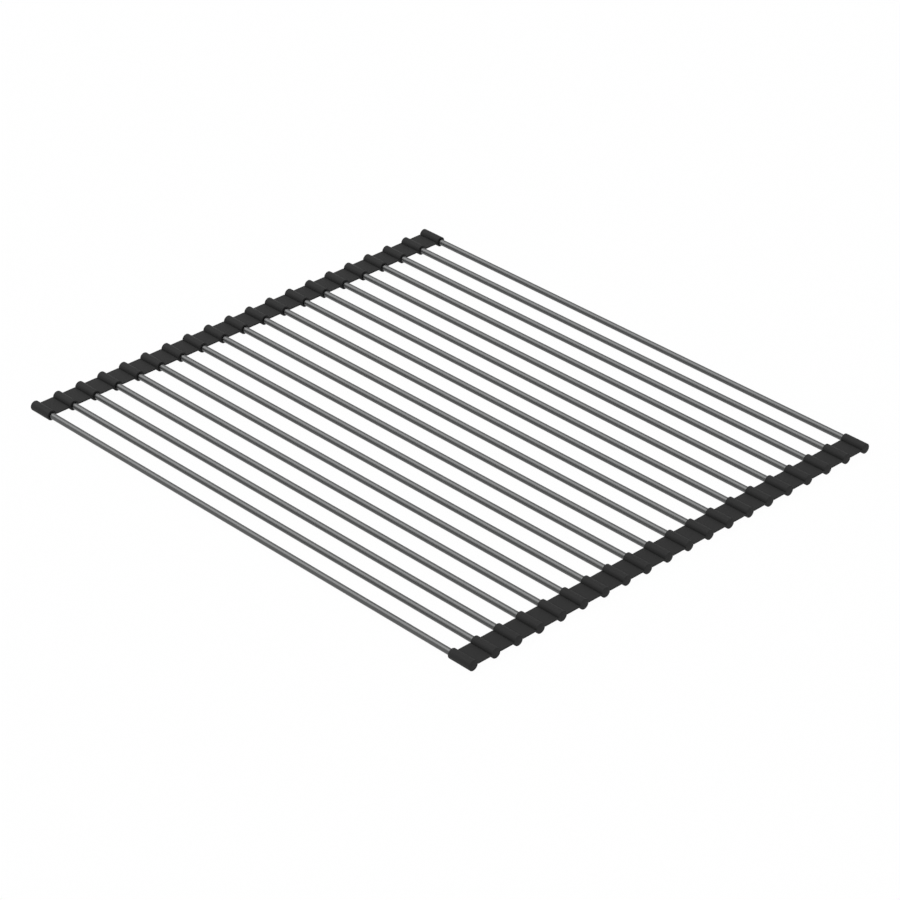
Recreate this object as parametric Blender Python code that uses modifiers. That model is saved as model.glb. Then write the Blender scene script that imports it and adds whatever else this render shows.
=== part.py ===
"""Roll up dish drying rack: steel tubes laid side by side, with their ends held in two silicone strips.

The rack lies flat on z = 0. The tubes run along X, the two strips run along Y, and Z is up.
Each strip is a row of round sleeves joined by thin webs, and it folds along the middle of every web.
It is built here as one section for each tube: a sleeve with half a web on each side of it.
The left strip is at -X and the right strip at +X. Tube 01 is at -Y. Lengths are in metres.
"""

import math

import bmesh
import bpy
from mathutils import Matrix

# The rack
tube_count = 20
tube_pitch = 0.02326
rack_length = 0.5200

# The steel tubes
tube_diameter = 0.0055
tube_wall = 0.0006

# The sleeves, closed at the outer end and open at the inner one
sleeve_length = 0.0227
sleeve_wall = 0.0014
sleeve_end_wall = 0.0016
sleeve_rim_round = 0.0003

# The webs between the sleeves, as wide as the sleeves are long
web_thickness = 0.0013
web_edge_round_share = 0.9  # of half the web's thickness
fold_limit = math.radians(72)

# Clearances
tube_fit_gap = 0.0003
tube_end_gap = 0.0003
fold_gap = 0.0001
cut_overrun = 0.001

# How finely round shapes are drawn
round_sides = 16
rim_steps = 2
web_edge_steps = 2
sharp_angle = math.radians(40)

# Derived sizes
tube_radius = tube_diameter / 2
tube_length = rack_length - 2 * (sleeve_end_wall + tube_end_gap)
bore_radius = tube_radius + tube_fit_gap
sleeve_radius = bore_radius + sleeve_wall
sleeve_middle_x = (rack_length - sleeve_length) / 2
half_web = web_thickness / 2
# Two rounded web edges stay fold_gap apart when the strip is folded as far as it goes.
edge_centre_from_fold = (half_web + fold_gap / 2) / math.cos(fold_limit / 2)
web_reach = tube_pitch / 2 - edge_centre_from_fold + half_web
first_tube_y = -tube_pitch * (tube_count - 1) / 2


def make_collection(name):
    """A new collection in the scene."""
    collection = bpy.data.collections.new(name)
    bpy.context.scene.collection.children.link(collection)
    return collection


def make_material(name, colour, metallic, roughness):
    """A plain Principled material."""
    material = bpy.data.materials.new(name)
    material.use_nodes = True
    shader = material.node_tree.nodes["Principled BSDF"]
    shader.inputs["Base Color"].default_value = (*colour, 1)
    shader.inputs["Metallic"].default_value = metallic
    shader.inputs["Roughness"].default_value = roughness
    material.diffuse_color = (*colour, 1)
    return material


def make_object(name, mesh, collection):
    """A new object that shows the mesh."""
    obj = bpy.data.objects.new(name, mesh)
    collection.objects.link(obj)
    return obj


def make_helper(name, mesh):
    """An object that only shapes others, so it is left out of the finished rack."""
    obj = make_object(name, mesh, cutters)
    obj.hide_render = True
    obj.display_type = "WIRE"
    return obj


def shade(mesh):
    """Round faces shade smooth, and edges as sharp as a rim's stay crisp."""
    mesh.shade_smooth()
    mesh.set_sharp_from_angle(angle=sharp_angle)


def make_round_bar(radius, length, capped=True):
    """A round bar along X, as a bmesh. The radius is to its flats, and one flat faces straight down."""
    bar = bmesh.new()
    corner_radius = radius / math.cos(math.pi / round_sides)
    turn = Matrix.Rotation(math.pi / round_sides, 4, "X") @ Matrix.Rotation(math.pi / 2, 4, "Y")
    bmesh.ops.create_cone(
        bar,
        cap_ends=capped,
        segments=round_sides,
        radius1=corner_radius,
        radius2=corner_radius,
        depth=length,
        matrix=turn,
    )
    return bar


def finish_mesh(name, shape):
    """The bmesh as a mesh with its faces pointing out."""
    bmesh.ops.recalc_face_normals(shape, faces=shape.faces)
    mesh = bpy.data.meshes.new(name)
    shape.to_mesh(mesh)
    shape.free()
    return mesh


def make_sleeve_blank(name):
    """A solid sleeve with its outer end, at -X, rounded at the rim."""
    blank = make_round_bar(sleeve_radius, sleeve_length)
    outer_end = min(vert.co.x for vert in blank.verts)
    rim = [
        edge
        for edge in blank.edges
        if all(math.isclose(vert.co.x, outer_end, abs_tol=sleeve_rim_round / 2) for vert in edge.verts)
    ]
    bmesh.ops.bevel(blank, geom=rim, offset=sleeve_rim_round, segments=rim_steps, profile=0.5, affect="EDGES")
    return make_helper(name, finish_mesh(name, blank))


def make_web_half(name, side):
    """Half a web, from the sleeve's axis out to its rounded edge. side is 1 towards +Y and -1 towards -Y."""
    web = bmesh.new()
    bmesh.ops.create_cube(web, size=1)
    bmesh.ops.scale(web, vec=(sleeve_length, web_reach, web_thickness), verts=web.verts)
    bmesh.ops.translate(web, vec=(0, side * web_reach / 2, 0), verts=web.verts)
    outer = [
        edge
        for edge in web.edges
        if all(math.isclose(vert.co.y, side * web_reach, abs_tol=half_web) for vert in edge.verts)
        and edge.verts[0].co.z * edge.verts[1].co.z > 0
    ]
    bmesh.ops.bevel(
        web,
        geom=outer,
        offset=half_web * web_edge_round_share,
        segments=web_edge_steps,
        profile=0.5,
        affect="EDGES",
    )
    return make_helper(name, finish_mesh(name, web))


def make_bore(name):
    """The blind hole that a tube's end sits in. It is open at +X, the sleeve's inner end."""
    depth = sleeve_length - sleeve_end_wall + cut_overrun
    bore = make_round_bar(bore_radius, depth)
    bmesh.ops.translate(bore, vec=((sleeve_end_wall + cut_overrun) / 2, 0, 0), verts=bore.verts)
    return make_helper(name, finish_mesh(name, bore))


def make_section_mesh(name, sides):
    """One section of a strip: a sleeve, half a web on each of the given sides, and the bore."""
    blank = make_sleeve_blank(name + "_sleeve")
    for side in sides:
        join = blank.modifiers.new("web", "BOOLEAN")
        join.operation = "UNION"
        join.object = web_halves[side]
    cut = blank.modifiers.new("bore", "BOOLEAN")
    cut.operation = "DIFFERENCE"
    cut.object = bore_cutter
    bpy.context.view_layer.update()
    graph = bpy.context.evaluated_depsgraph_get()
    mesh = bpy.data.meshes.new_from_object(blank.evaluated_get(graph))
    mesh.name = name
    mesh.materials.append(silicone)
    shade(mesh)
    return mesh


def make_tube_mesh(name):
    """The outer skin of a tube, open at both ends."""
    mesh = finish_mesh(name, make_round_bar(tube_radius, tube_length, capped=False))
    mesh.materials.append(steel)
    shade(mesh)
    return mesh


def add_tube(name, place, parent):
    """One steel tube, whose wall is the skin thickened inwards."""
    tube = make_object(name, tube_mesh, rack)
    tube.parent = parent
    tube.location = place
    wall = tube.modifiers.new("wall", "SOLIDIFY")
    wall.thickness = tube_wall
    wall.offset = -1
    wall.use_even_offset = True


def add_section(name, mesh, place, turn, parent):
    """One section of a strip, turned round Z so that its closed end points outwards."""
    section = make_object(name, mesh, rack)
    section.parent = parent
    section.location = place
    section.rotation_euler = (0, 0, turn)


def add_fold(name, place, parent):
    """An empty on the axis that a section folds about. Turning it about X folds the rest of the rack."""
    fold = make_object(name, None, rack)
    fold.empty_display_size = tube_pitch / 2
    fold.parent = parent
    fold.location = place
    return fold


for old in list(bpy.data.objects):
    bpy.data.objects.remove(old)

rack = make_collection("roll_up_drying_rack")
cutters = make_collection("cutters")
steel = make_material("satin_stainless_steel", (0.15, 0.152, 0.154), 1.0, 0.32)
silicone = make_material("black_silicone", (0.016, 0.016, 0.0165), 0.0, 0.55)

web_halves = {side: make_web_half("web_half_" + word, side) for side, word in ((1, "ahead"), (-1, "behind"))}
bore_cutter = make_bore("bore")
tube_mesh = make_tube_mesh("tube")
# Each section's mesh is named for the sides its webs are on.
section_meshes = {
    (-1, 1): make_section_mesh("section_between", (-1, 1)),
    (1,): make_section_mesh("section_first", (1,)),
    (-1,): make_section_mesh("section_last", (-1,)),
}

fold = None
for number in range(1, tube_count + 1):
    is_first = number == 1
    is_last = number == tube_count
    if is_first:
        fold_place = (0, first_tube_y, sleeve_radius)
    else:
        fold_place = (0, tube_pitch / 2 if number == 2 else tube_pitch, 0)
    fold = add_fold(f"section_{number:02d}", fold_place, fold)
    from_fold = 0 if is_first else tube_pitch / 2
    add_tube(f"rod_{number:02d}", (0, from_fold, 0), fold)
    sides = tuple(side for side in (-1, 1) if not (is_first and side < 0) and not (is_last and side > 0))
    turned_sides = tuple(sorted(-side for side in sides))
    left_place = (-sleeve_middle_x, from_fold, 0)
    right_place = (sleeve_middle_x, from_fold, 0)
    add_section(f"left_strip_{number:02d}", section_meshes[sides], left_place, 0, fold)
    add_section(f"right_strip_{number:02d}", section_meshes[turned_sides], right_place, math.pi, fold)
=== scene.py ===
# %% [markdown]
# # A roll up dish drying rack
#
# The rack is twenty steel tubes laid side by side, with their ends held in two strips of black
# silicone. Each strip is a row of round sleeves joined by thin webs, and the webs bend, so the rack
# rolls up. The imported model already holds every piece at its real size. This script loads it and
# dresses it. It models the tubes, the sleeves and the webs finely, gives them steel and silicone,
# and lights them.

import math

import bmesh
import bpy
from mathutils import Matrix, Vector


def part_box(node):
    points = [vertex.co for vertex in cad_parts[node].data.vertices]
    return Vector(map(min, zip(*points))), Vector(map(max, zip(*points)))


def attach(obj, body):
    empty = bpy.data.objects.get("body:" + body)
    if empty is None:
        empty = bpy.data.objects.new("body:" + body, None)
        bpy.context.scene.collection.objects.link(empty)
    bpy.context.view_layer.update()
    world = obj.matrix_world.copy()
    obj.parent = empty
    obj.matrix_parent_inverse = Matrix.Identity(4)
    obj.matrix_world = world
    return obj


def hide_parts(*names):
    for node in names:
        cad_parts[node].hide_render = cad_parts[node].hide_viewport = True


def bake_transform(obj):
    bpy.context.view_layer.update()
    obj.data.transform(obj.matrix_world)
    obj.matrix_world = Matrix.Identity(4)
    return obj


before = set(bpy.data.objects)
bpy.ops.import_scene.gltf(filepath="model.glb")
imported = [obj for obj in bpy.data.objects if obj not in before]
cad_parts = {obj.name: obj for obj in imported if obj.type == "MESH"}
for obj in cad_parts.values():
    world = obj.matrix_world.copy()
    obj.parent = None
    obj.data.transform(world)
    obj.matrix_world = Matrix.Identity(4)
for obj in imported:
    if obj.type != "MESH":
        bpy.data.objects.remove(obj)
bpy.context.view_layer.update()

# %% [markdown]
# ## Sizes
#
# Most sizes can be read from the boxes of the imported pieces: where each tube lies, how far apart
# two of them are, and how thick and how long a sleeve is. The rest are the ones that a box doesn't
# give, such as the thickness of a web, and they are named here in millimetres.

# %% Read the rack's sizes
mm = 0.001

tube_count = sum(name.startswith("rod_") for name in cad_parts)
tube_low, tube_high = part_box("rod_01")
next_tube_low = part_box("rod_02")[0]
sleeve_low, sleeve_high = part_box("left_strip_02")

tube_radius = (tube_high.z - tube_low.z) / 2
tube_length = tube_high.x - tube_low.x
tube_pitch = next_tube_low.y - tube_low.y
first_tube_y = (tube_low.y + tube_high.y) / 2
axis_height = (tube_low.z + tube_high.z) / 2
sleeve_radius = (sleeve_high.z - sleeve_low.z) / 2
sleeve_length = sleeve_high.x - sleeve_low.x
sleeve_outer_x = sleeve_low.x
sleeve_inner_x = sleeve_high.x

tube_wall = 0.6 * mm
sleeve_end_wall = 1.6 * mm
web_thickness = 1.3 * mm
web_end_inset = 0.05 * mm  # so that a web's ends and a sleeve's ends don't lie in one plane
print(f"{tube_count} tubes of {2 * tube_radius / mm:.1f} mm, {tube_pitch / mm:.1f} mm apart")
print(f"sleeves {2 * sleeve_radius / mm:.1f} mm thick and {sleeve_length / mm:.1f} mm long")

# %% [markdown]
# ## Working by hand, in code
#
# The operators of edit mode act on whatever is selected, so a few small helpers do the selecting.
# One makes an object the only selected one. Another picks faces, edges or vertices by a test on
# where they are, and two more make such tests.

# %% Helpers for selecting
X, Y = 0, 1
at_place = 0.001 * mm  # how near counts as the same place
end_face_lean = 0.5  # a face whose normal leans this far along X closes an end


def select_only(obj):
    """Make obj the one selected and active object."""
    bpy.ops.object.select_all(action="DESELECT")
    obj.select_set(True)
    bpy.context.view_layer.objects.active = obj


def pick(obj, kind, wanted):
    """In edit mode, select the faces, edges or vertices that pass the test, and nothing else."""
    bpy.ops.mesh.select_mode(type=kind)
    bpy.ops.mesh.select_all(action="DESELECT")
    shape = bmesh.from_edit_mesh(obj.data)
    parts = {"VERT": shape.verts, "EDGE": shape.edges, "FACE": shape.faces}[kind]
    for part in parts:
        if wanted(part):
            part.select_set(True)
    shape.select_flush_mode()
    bmesh.update_edit_mesh(obj.data)


def lies_at(axis, *places):
    """A test for edges or faces that lie wholly at one of the places along an axis."""
    return lambda part: any(
        all(abs(vert.co[axis] - place) < at_place for vert in part.verts) for place in places
    )


def is_rim(edge):
    """True for an edge where an end face meets a long face."""
    return sum(abs(face.normal.x) > end_face_lean for face in edge.link_faces) == 1


print("selecting counts", at_place / mm, "mm as the same place")

# %% [markdown]
# Two things are done to every piece. A rounded end pulls the shading of the long faces round with
# it, unless a loop is cut close to that end to hold them smooth. And a finished piece sits at the
# origin with its place in its mesh, so a helper applies the place that it was added at.

# %% Helpers for cutting and placing
holding_loop = 0.5 * mm  # how far in from a rounded end its loop is cut
smooth_angle = math.radians(30)  # edges sharper than this stay crisp


def cut_loop(axis, place):
    """Cut a loop right round the mesh being edited, at one place along an axis."""
    point, normal = Vector(), Vector()
    point[axis], normal[axis] = place, 1
    bpy.ops.mesh.select_all(action="SELECT")
    bpy.ops.mesh.bisect(plane_co=point, plane_no=normal)


def apply_place(obj):
    """Move the object's place, turn and size into its mesh, so the object itself sits at the origin."""
    select_only(obj)
    bpy.ops.object.transform_apply(location=True, rotation=True, scale=True)


print("loops are cut", holding_loop / mm, "mm in from the ends")

# %% [markdown]
# ## Helpers for materials
#
# Colours are written as they look on a screen, in sRGB hex, and one function turns them to the
# linear values that the renderer works in. A second function adds a node, sets its options, and
# fills or links its sockets. A socket that shares its name with another goes by its number: the
# two colours of a Mix node are sockets 6 and 7, and its mixed colour comes out of socket 2.

# %% Helpers for colours and nodes
def linear(hex_colour):
    """A colour written as sRGB hex, as linear red, green, blue and alpha."""
    channels = [int(hex_colour[i : i + 2], 16) / 255 for i in (1, 3, 5)]
    return tuple(c / 12.92 if c <= 0.04045 else ((c + 0.055) / 1.055) ** 2.4 for c in channels) + (1,)


def add_node(tree, kind, options=None, **sockets):
    """A new node. A socket takes a value or a node's output, and _ in its name stands for a space."""
    node = tree.nodes.new(kind)
    for name, value in (options or {}).items():
        setattr(node, name, value)
    for name, value in sockets.items():
        socket = node.inputs[int(name[1:]) if name[1:].isdigit() else name.replace("_", " ")]
        if isinstance(value, bpy.types.NodeSocket):
            tree.links.new(value, socket)
        else:
            socket.default_value = value
    return node


def new_material(name):
    """An empty material, with its node tree."""
    material = bpy.data.materials.new(name)
    material.use_nodes = True
    material.node_tree.nodes.clear()
    return material, material.node_tree


def per_metre(*sizes):
    """The scale of a pattern whose features are this large along X, Y and Z."""
    return tuple(1 / size for size in sizes)


print("a dark grey in linear light:", [round(c, 4) for c in linear("#2a2a2a")[:3]])

# %% [markdown]
# ## Satin stainless steel
#
# The tubes are stainless steel, drawn through a die and then ground along their length with a fine
# belt. That leaves faint scratches that run along the tube and spread a highlight across it, so the
# tube shows a soft bright band and not a mirror line. The steel is a dark neutral grey. Real
# grinding marks are a few hundredths of a millimetre wide; they are drawn 0.3 mm wide and 40 mm
# long, so that they still show from a step away.

# %% Make the steel
mark_size = (40 * mm, 0.3 * mm, 0.3 * mm)
cloud_size = (70 * mm, 25 * mm, 25 * mm)

steel, tree = new_material("satin_stainless_steel")
place = add_node(tree, "ShaderNodeTexCoord").outputs["Object"]
along = add_node(tree, "ShaderNodeMapping", Vector=place, Scale=per_metre(*mark_size)).outputs[0]
marks = add_node(tree, "ShaderNodeTexNoise", Vector=along, Scale=1, Detail=3, Roughness=0.6).outputs["Fac"]
wide = add_node(tree, "ShaderNodeMapping", Vector=place, Scale=per_metre(*cloud_size)).outputs[0]
clouds = add_node(tree, "ShaderNodeTexNoise", Vector=wide, Scale=1, Detail=2).outputs["Fac"]
ground = add_node(
    tree,
    "ShaderNodeMix",
    {"data_type": "RGBA"},
    Factor=marks,
    _6=linear("#535454"),
    _7=linear("#5a5a5a"),
).outputs[2]
handled = add_node(tree, "ShaderNodeMapRange", Value=clouds, To_Min=0.94, To_Max=1.06).outputs[0]
colour = add_node(tree, "ShaderNodeHueSaturation", Color=ground, Value=handled).outputs[0]
roughness = add_node(tree, "ShaderNodeMapRange", Value=marks, To_Min=0.26, To_Max=0.36).outputs[0]
bump = add_node(tree, "ShaderNodeBump", Height=marks, Strength=0.15, Distance=0.02 * mm).outputs[0]
surface = add_node(
    tree, "ShaderNodeBsdfPrincipled", Base_Color=colour, Metallic=1, Roughness=roughness, Normal=bump
).outputs[0]
add_node(tree, "ShaderNodeOutputMaterial", Surface=surface)
print("made", steel.name, "with", len(tree.nodes), "nodes")

# %% [markdown]
# ## Black silicone
#
# The strips are silicone rubber, moulded in a steel mould whose walls were spark eroded. That
# leaves a fine, even grain and a matte, slightly soft black. Silicone also picks up dust, which
# lightens it a touch in clouds. Its index of refraction is 1.41, lower than a hard plastic's. The
# pits of the grain are deeper than they are wide and swallow most of the shine that a smooth skin
# would have, so the specular level is low. The real grain is about 0.1 mm; it is drawn at 0.4 mm,
# as fine as the picture can hold.

# %% Make the silicone
grain_size = (0.4 * mm, 0.4 * mm, 0.4 * mm)
dust_size = (12 * mm, 12 * mm, 12 * mm)

silicone, tree = new_material("moulded_black_silicone")
place = add_node(tree, "ShaderNodeTexCoord").outputs["Object"]
fine = add_node(tree, "ShaderNodeMapping", Vector=place, Scale=per_metre(*grain_size)).outputs[0]
grain = add_node(tree, "ShaderNodeTexNoise", Vector=fine, Scale=1, Detail=2, Roughness=0.6).outputs["Fac"]
broad = add_node(tree, "ShaderNodeMapping", Vector=place, Scale=per_metre(*dust_size)).outputs[0]
dust = add_node(tree, "ShaderNodeTexNoise", Vector=broad, Scale=1, Detail=4, Roughness=0.65).outputs["Fac"]
moulded = add_node(
    tree,
    "ShaderNodeMix",
    {"data_type": "RGBA"},
    Factor=grain,
    _6=linear("#282828"),
    _7=linear("#2c2c2c"),
).outputs[2]
dusted = add_node(tree, "ShaderNodeMapRange", Value=dust, To_Min=0.92, To_Max=1.1).outputs[0]
colour = add_node(tree, "ShaderNodeHueSaturation", Color=moulded, Value=dusted).outputs[0]
roughness = add_node(tree, "ShaderNodeMapRange", Value=dust, To_Min=0.5, To_Max=0.6).outputs[0]
bump = add_node(tree, "ShaderNodeBump", Height=grain, Strength=0.3, Distance=0.05 * mm).outputs[0]
surface = add_node(
    tree,
    "ShaderNodeBsdfPrincipled",
    Base_Color=colour,
    Roughness=roughness,
    IOR=1.41,
    Specular_IOR_Level=0.12,
    Normal=bump,
).outputs[0]
add_node(tree, "ShaderNodeOutputMaterial", Surface=surface)
print("made", silicone.name, "with", len(tree.nodes), "nodes")

# %% [markdown]
# ## The steel tubes
#
# A tube could be a curve with a bevel, but this one has an inside too. So it starts as a solid bar.
# The two end faces are inset by the wall's thickness, and bridging the inset faces opens the bore
# from end to end. The sharp end rims are then broken with a small bevel, as a deburred cut is.

# %% Model the first tube
tube_sides = 48
tube_rim_bevel = 0.12 * mm
tube_end = tube_length / 2
at_tube_ends = lies_at(X, -tube_end, tube_end)

bpy.ops.mesh.primitive_cylinder_add(
    vertices=tube_sides,
    radius=tube_radius,
    depth=tube_length,
    location=(0, first_tube_y, axis_height),
    rotation=(0, math.pi / 2, 0),
)
tube = bpy.context.object
tube.name = "steel_tube_01"
apply_place(tube)

bpy.ops.object.mode_set(mode="EDIT")
pick(tube, "FACE", at_tube_ends)
bpy.ops.mesh.inset(thickness=tube_wall, use_individual=True)
pick(tube, "FACE", lambda face: at_tube_ends(face) and len(face.verts) == tube_sides)
bpy.ops.mesh.bridge_edge_loops()
pick(tube, "EDGE", lambda edge: at_tube_ends(edge) and is_rim(edge))
bpy.ops.mesh.bevel(offset=tube_rim_bevel, segments=2, affect="EDGES")
for side in (-1, 1):
    cut_loop(X, side * (tube_end - holding_loop))
bpy.ops.object.mode_set(mode="OBJECT")
bpy.ops.object.shade_smooth_by_angle(angle=smooth_angle)
tube.data.materials.append(steel)
print("the tube has", len(tube.data.polygons), "faces")

# %% [markdown]
# ## The sleeves
#
# A sleeve is a soft cap over the end of a tube. Its outer end is closed, with a rounded rim, and
# its inner end is open. It starts as a solid bar as well. The outer rim is rounded with a bevel.
# The inner end face is inset and pushed back into the bar, which leaves the socket, and both edges
# of the mouth are softened. Silicone grips the steel, so the socket is drawn only a hair wider than
# the tube.

# %% Model the first left sleeve
sleeve_sides = 64
rim_round = 0.3 * mm
mouth_round = 0.2 * mm
grip_gap = 0.06 * mm
sleeve_wall = sleeve_radius - tube_radius - grip_gap
socket_depth = sleeve_length - sleeve_end_wall
sleeve_middle_x = (sleeve_outer_x + sleeve_inner_x) / 2
at_mouth = lies_at(X, sleeve_inner_x)

bpy.ops.mesh.primitive_cylinder_add(
    vertices=sleeve_sides,
    radius=sleeve_radius,
    depth=sleeve_length,
    location=(sleeve_middle_x, first_tube_y, axis_height),
    rotation=(0, math.pi / 2, 0),
)
sleeve = bpy.context.object
sleeve.name = "left_sleeve_01"
apply_place(sleeve)

bpy.ops.object.mode_set(mode="EDIT")
pick(sleeve, "EDGE", lies_at(X, sleeve_outer_x))
bpy.ops.mesh.bevel(offset=rim_round, segments=4, affect="EDGES")
pick(sleeve, "FACE", at_mouth)
bpy.ops.mesh.inset(thickness=sleeve_wall)
bpy.ops.mesh.extrude_region_move(TRANSFORM_OT_translate={"value": (-socket_depth, 0, 0)})
pick(sleeve, "EDGE", lambda edge: at_mouth(edge) and is_rim(edge))
bpy.ops.mesh.bevel(offset=mouth_round, segments=3, affect="EDGES")
cut_loop(X, sleeve_outer_x + holding_loop)
cut_loop(X, sleeve_inner_x - holding_loop)
bpy.ops.object.mode_set(mode="OBJECT")
bpy.ops.object.shade_smooth_by_angle(angle=smooth_angle)
sleeve.data.materials.append(silicone)
print("the sleeve has", len(sleeve.data.polygons), "faces")

# %% [markdown]
# ## The webs
#
# A web is the thin flat bridge between two sleeves. Along the foot of each sleeve runs a fine
# crease, which shows as a crisp dark line and leaves half a millimetre of rubber under it. The web
# starts as a slab from inside one sleeve's wall to inside the next one's, and its long edges are
# rounded. Then bisect cuts loops across it: an even row, so that the web can bend as smoothly as
# rubber does, and one at the bottom of each crease, where all that lies further out is pressed
# thinner.

# %% Model the first left web
crease_width = 0.65 * mm
crease_depth = 0.4 * mm
bend_loops = 22
long_edge_round = 0.15 * mm
web_smooth_angle = math.radians(40)  # so that a crease's sides, which lean 32 degrees, look soft

half_web = web_thickness / 2
web_width = sleeve_length - 2 * web_end_inset
first_fold_y = first_tube_y + tube_pitch / 2
web_middle = Vector((sleeve_middle_x, first_fold_y, axis_height))
buried_end = tube_pitch / 2 - (sleeve_radius - sleeve_wall / 2)

# The crease's bottom lies on the sleeve's skin.
crease_height = half_web - crease_depth
crease_bottom = tube_pitch / 2 - math.sqrt(sleeve_radius**2 - crease_height**2)
crease_top = crease_bottom - crease_width

bpy.ops.mesh.primitive_cube_add(size=1, location=web_middle)
web = bpy.context.object
web.name = "left_web_01"
web.scale = (web_width, 2 * buried_end, web_thickness)
apply_place(web)

bpy.ops.object.mode_set(mode="EDIT")
pick(web, "EDGE", lambda edge: abs(edge.verts[0].co.y - edge.verts[1].co.y) > buried_end)
bpy.ops.mesh.bevel(offset=long_edge_round, segments=3, affect="EDGES")
for loop in range(bend_loops + 1):
    cut_loop(Y, first_fold_y + crease_top * (2 * loop / bend_loops - 1))
for side in (-1, 1):
    cut_loop(X, sleeve_middle_x + side * (web_width / 2 - holding_loop))
    cut_loop(Y, first_fold_y + side * crease_bottom)
pick(web, "VERT", lambda vert: abs(vert.co.y - first_fold_y) > crease_bottom - at_place)
bpy.ops.transform.resize(value=(1, 1, crease_height / half_web), center_override=web_middle)
bpy.ops.object.mode_set(mode="OBJECT")
bpy.ops.object.shade_smooth_by_angle(angle=web_smooth_angle)
web.data.materials.append(silicone)
print("the web has", len(web.data.polygons), "faces and creases", round(crease_depth / mm, 2), "mm deep")

# %% [markdown]
# ## Twenty tubes, forty sleeves, thirty-eight webs
#
# Each piece was modelled once, at the first tube on the left. The rest are copies moved along the
# strip, and the right strip is the left one turned half a turn about the tube's middle, so that no
# face turns inside out. A tube and its sleeves ride on that tube's body. A web stays where it
# was copied to and rides on no body.


def shifted(number):
    """The move from the first tube to another."""
    return Matrix.Translation((0, tube_pitch * (number - 1), 0))


def turned_to_right(y):
    """Half a turn about an upright line through the rack's middle plane, at one place along Y."""
    to_line = Matrix.Translation((0, y, 0))
    return to_line @ Matrix.Rotation(math.pi, 4, "Z") @ to_line.inverted()


def copy_piece(obj, name, move):
    """A copy with its own mesh, moved by a matrix."""
    copied = obj.copy()
    copied.data = obj.data.copy()
    copied.name = name
    copied.data.name = name
    copied.data.transform(move)
    bpy.context.scene.collection.objects.link(copied)
    return copied


def settle(piece, body, node):
    """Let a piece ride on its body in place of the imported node."""
    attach(piece, body)
    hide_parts(node)


def bend_between(piece):
    """Move a web's place into its mesh; the web rides on no body and does not bend."""
    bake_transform(piece)


# %% Copy the pieces and let them ride
for number in range(1, tube_count + 1):
    body = f"section_{number:02d}"
    is_first = number == 1
    this_tube = tube if is_first else copy_piece(tube, f"steel_tube_{number:02d}", shifted(number))
    left_sleeve = sleeve if is_first else copy_piece(sleeve, f"left_sleeve_{number:02d}", shifted(number))
    to_right = shifted(number) @ turned_to_right(first_tube_y)
    right_sleeve = copy_piece(sleeve, f"right_sleeve_{number:02d}", to_right)
    settle(this_tube, body, f"rod_{number:02d}")
    settle(left_sleeve, body, f"left_strip_{number:02d}")
    settle(right_sleeve, body, f"right_strip_{number:02d}")

for number in range(1, tube_count):
    left_web = web if number == 1 else copy_piece(web, f"left_web_{number:02d}", shifted(number))
    to_right = shifted(number) @ turned_to_right(first_fold_y)
    right_web = copy_piece(web, f"right_web_{number:02d}", to_right)
    bend_between(left_web)
    bend_between(right_web)

# %% [markdown]
# ## The floor and the light
#
# The rack lies on a plain pale floor. The background is plain white: the world is white wherever
# the camera, a reflection or a refraction sees it, and dimmer where it only fills the shadows. The
# floor lets most of that white through to them too, and keeps the rack's shadow in the rest, as
# faint as the photograph shows it. A broad soft lamp stands overhead, behind the far ends of the
# tubes, and gives each tube its bright band. A weaker one stands on the near side, so that the
# sleeves' near sides don't go black.

# %% Tell what is seen from what only lights
def seen_directly(tree):
    """1 for a ray from the camera, a reflection or a refraction, and 0 for light that only fills."""
    rays = add_node(tree, "ShaderNodeLightPath")
    seen = rays.outputs["Is Camera Ray"]
    for kind in ("Is Glossy Ray", "Is Transmission Ray"):
        seen = add_node(
            tree, "ShaderNodeMath", {"operation": "MAXIMUM"}, _0=seen, _1=rays.outputs[kind]
        ).outputs[0]
    return seen


print("the camera, reflections and refractions see white")

# %% Make the floor
floor_side = 8.0
white_share = 0.98

bpy.ops.mesh.primitive_plane_add(size=floor_side, location=(0, 0, 0))
floor = bpy.context.object
floor.name = "floor"
pale, tree = new_material("pale_floor")
let_through = add_node(
    tree, "ShaderNodeMath", {"operation": "MULTIPLY"}, _0=seen_directly(tree), _1=white_share
).outputs[0]
paint = add_node(tree, "ShaderNodeBsdfDiffuse", Color=linear("#fafafa")).outputs[0]
clear = add_node(tree, "ShaderNodeBsdfTransparent").outputs[0]
surface = add_node(tree, "ShaderNodeMixShader", _0=let_through, _1=paint, _2=clear).outputs[0]
add_node(tree, "ShaderNodeOutputMaterial", Surface=surface)
floor.data.materials.append(pale)
print("the floor is", floor_side, "m across")

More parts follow.
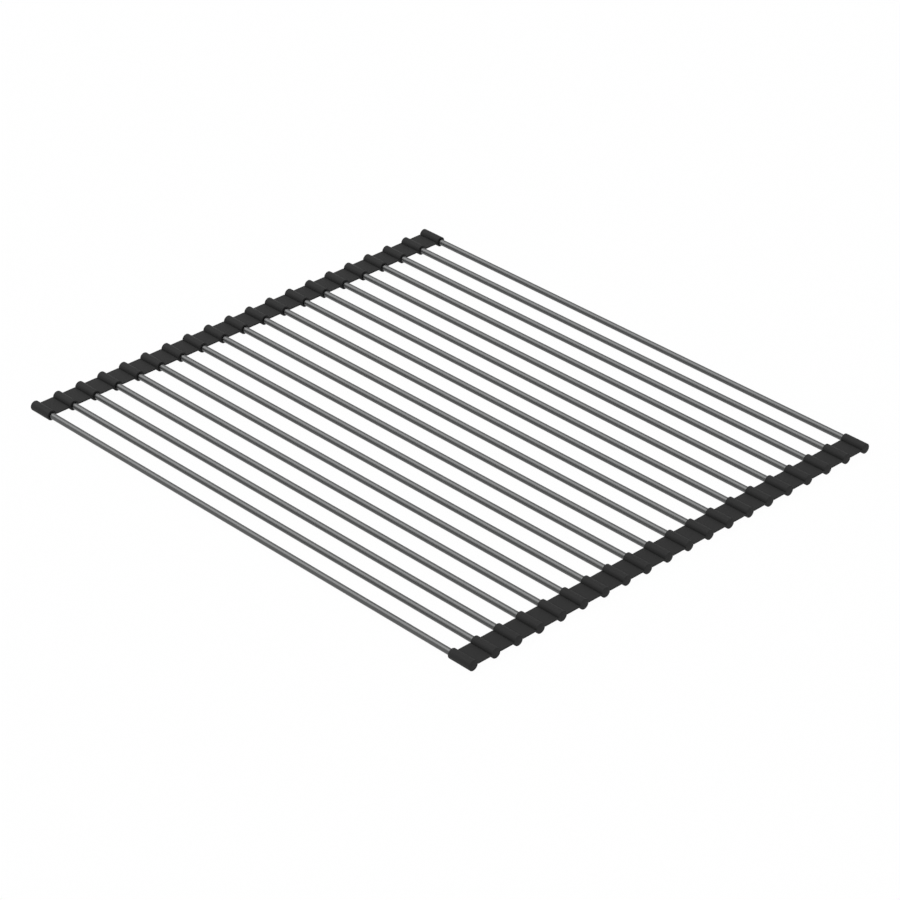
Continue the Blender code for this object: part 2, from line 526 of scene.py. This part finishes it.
# %% Make the world and the lamps
fill_strength = 0.48
lamp_width = math.radians(50)
lamps = {
    "soft_overhead_light": (0.4 * math.pi, Vector((-0.617, -0.161, 0.771))),
    "soft_near_light": (0.2 * math.pi, Vector((0.4, -0.7, 0.59))),
}

world = bpy.data.worlds.new("white_studio")
bpy.context.scene.world = world
world.use_nodes = True
tree = world.node_tree
tree.nodes.clear()
strength = add_node(
    tree, "ShaderNodeMapRange", Value=seen_directly(tree), To_Min=fill_strength, To_Max=1
).outputs[0]
glow = add_node(tree, "ShaderNodeBackground", Color=(1, 1, 1, 1), Strength=strength).outputs[0]
add_node(tree, "ShaderNodeOutputWorld", Surface=glow)

for name, (lamp_strength, lamp_from) in lamps.items():
    lamp_data = bpy.data.lights.new(name, "SUN")
    lamp_data.energy = lamp_strength
    lamp_data.angle = lamp_width
    lamp = bpy.data.objects.new(name, lamp_data)
    lamp.rotation_euler = lamp_from.to_track_quat("Z", "Y").to_euler()
    bpy.context.scene.collection.objects.link(lamp)
print(len(lamps), "broad lamps, each", round(math.degrees(lamp_width)), "degrees wide")

# %% [markdown]
# ## The camera
#
# The photograph looks down on the rack from beyond its right-hand near corner. The camera's place,
# direction and lens were worked out from the straight edges of the tubes and strips in the picture,
# in tube spacings from the middle of the first tube, and are turned to the rack's own frame here.

# %% Place the camera
camera_spacings = Vector((73.5375, -60.8711, 60.8371))
camera_azimuth = math.radians(136.1781)
camera_drop = math.radians(31.2603)

camera_data = bpy.data.cameras.new("camera")
camera_data.sensor_width = 36
camera_data.lens = 135
camera = bpy.data.objects.new("camera", camera_data)
camera.location = camera_spacings * tube_pitch + Vector((0, first_tube_y, axis_height))
looking = Vector(
    (
        math.cos(camera_drop) * math.cos(camera_azimuth),
        math.cos(camera_drop) * math.sin(camera_azimuth),
        -math.sin(camera_drop),
    )
)
camera.rotation_euler = looking.to_track_quat("-Z", "Y").to_euler()
bpy.context.scene.collection.objects.link(camera)
bpy.context.scene.camera = camera
bpy.context.scene.view_settings.view_transform = "Standard"
print(f"the camera has a {camera_data.lens:.0f} mm lens and stands {camera.location.length:.2f} m away")
